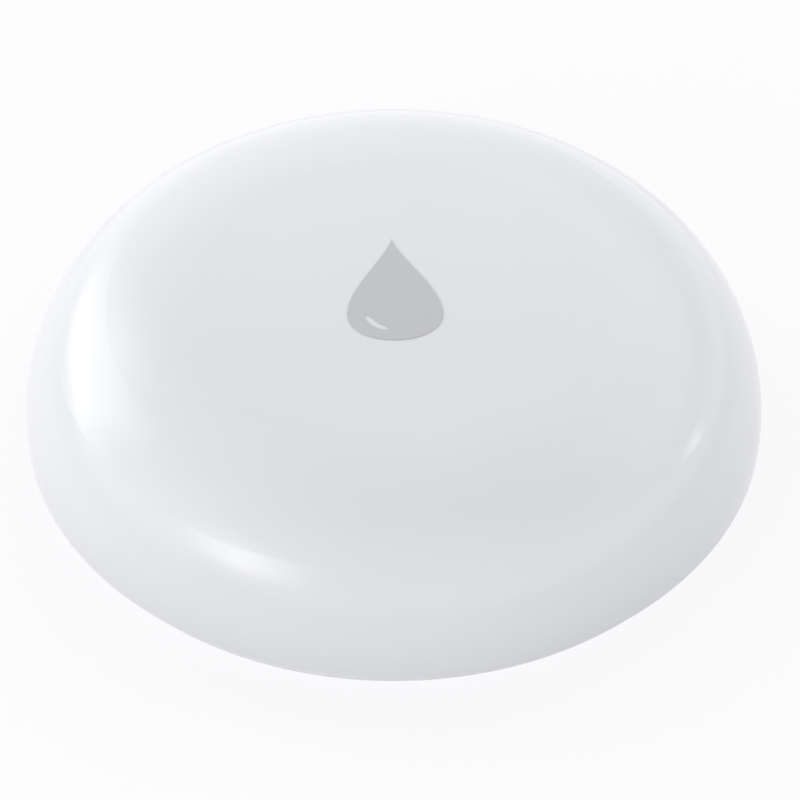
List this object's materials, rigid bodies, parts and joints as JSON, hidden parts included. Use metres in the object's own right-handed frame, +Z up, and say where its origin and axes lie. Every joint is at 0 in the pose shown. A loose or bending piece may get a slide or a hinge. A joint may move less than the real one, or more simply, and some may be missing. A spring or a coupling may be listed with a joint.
{
  "type": "water leak sensor",
  "caption": "Low round puck with a domed glossy key cover, tray base, floor probes and a quarter-turn coin-cell cover underneath.",
  "frame": {"origin": "on the floor under the middle of the puck", "axes": "+Z up out of the dome; the two floor probes lie along X; -Y faces the viewer of the picture"},
  "size_m": [0.05, 0.05, 0.015],
  "materials": {
    "cover_plastic": "glossy white moulded plastic",
    "base_plastic": "satin white moulded plastic",
    "seal_rubber": "soft grey silicone rubber",
    "board_laminate": "green solder mask on glass-epoxy board",
    "chip_black": "black moulded package",
    "ceramic": "sintered ceramic with plated ends",
    "antenna_ceramic": "white sintered ceramic",
    "led_lens": "clear moulded lens over a pale die",
    "plunger_plastic": "black moulded plastic",
    "probe_steel": "turned stainless steel",
    "cell_steel": "nickel-plated steel",
    "spring_metal": "gold-plated spring bronze",
    "screw_steel": "zinc-plated steel"
  },
  "bodies": {
    "base": {"base_housing": "base_plastic", "housing_seal": "seal_rubber", "circuit_board": "board_laminate", "radio_chip": "chip_black", "crystal_can": "cell_steel", "chip_capacitors": "ceramic", "chip_resistors": "chip_black", "chip_antenna": "antenna_ceramic", "status_led": "led_lens", "switch_body": "chip_black", "switch_frame": "cell_steel", "switch_dome": "cell_steel", "switch_terminals": "cell_steel", "negative_contact": "spring_metal", "positive_contact": "spring_metal", "probe_contacts": "spring_metal", "probe_left": "probe_steel", "probe_right": "probe_steel", "probe_seals": "seal_rubber", "probe_nuts": "screw_steel", "board_screws": "screw_steel", "cell_can": "cell_steel", "cell_gasket": "plunger_plastic", "cell_cap": "cell_steel"},
    "cover": {"top_cover": "cover_plastic"},
    "switch_key": {"switch_plunger": "plunger_plastic"},
    "battery_cover_ring": {"battery_cover_seal": "seal_rubber"},
    "battery_door": {"battery_cover": "base_plastic"}
  },
  "joints": [
    {"name": "cover_press", "type": "slide", "parent": "base", "child": "cover", "axis": [0, 0, -1], "range_m": [0, 0.00025], "stiffness_N_per_m": 6600, "springref_m": -0.0001},
    {"name": "switch_press", "type": "slide", "parent": "base", "child": "switch_key", "axis": [0, 0, -1], "range_m": [0, 0.00025], "deforming": ["switch_dome"]},
    {"name": "battery_cover_lift", "type": "slide", "parent": "base", "child": "battery_cover_ring", "axis": [0, 0, -1], "range_m": [0, 0.0023]},
    {"name": "battery_cover_turn", "type": "hinge", "parent": "battery_cover_ring", "child": "battery_door", "pos_m": [0, 0, 0], "axis": [0, 0, -1], "range_deg": [0, 90]}
  ],
  "couplings": [
    {"joint": "switch_press", "follows": "cover_press", "ratio": 1},
    {"joint": "battery_cover_lift", "follows": "battery_cover_turn", "m_per_rad": 0.0014642}
  ]
}
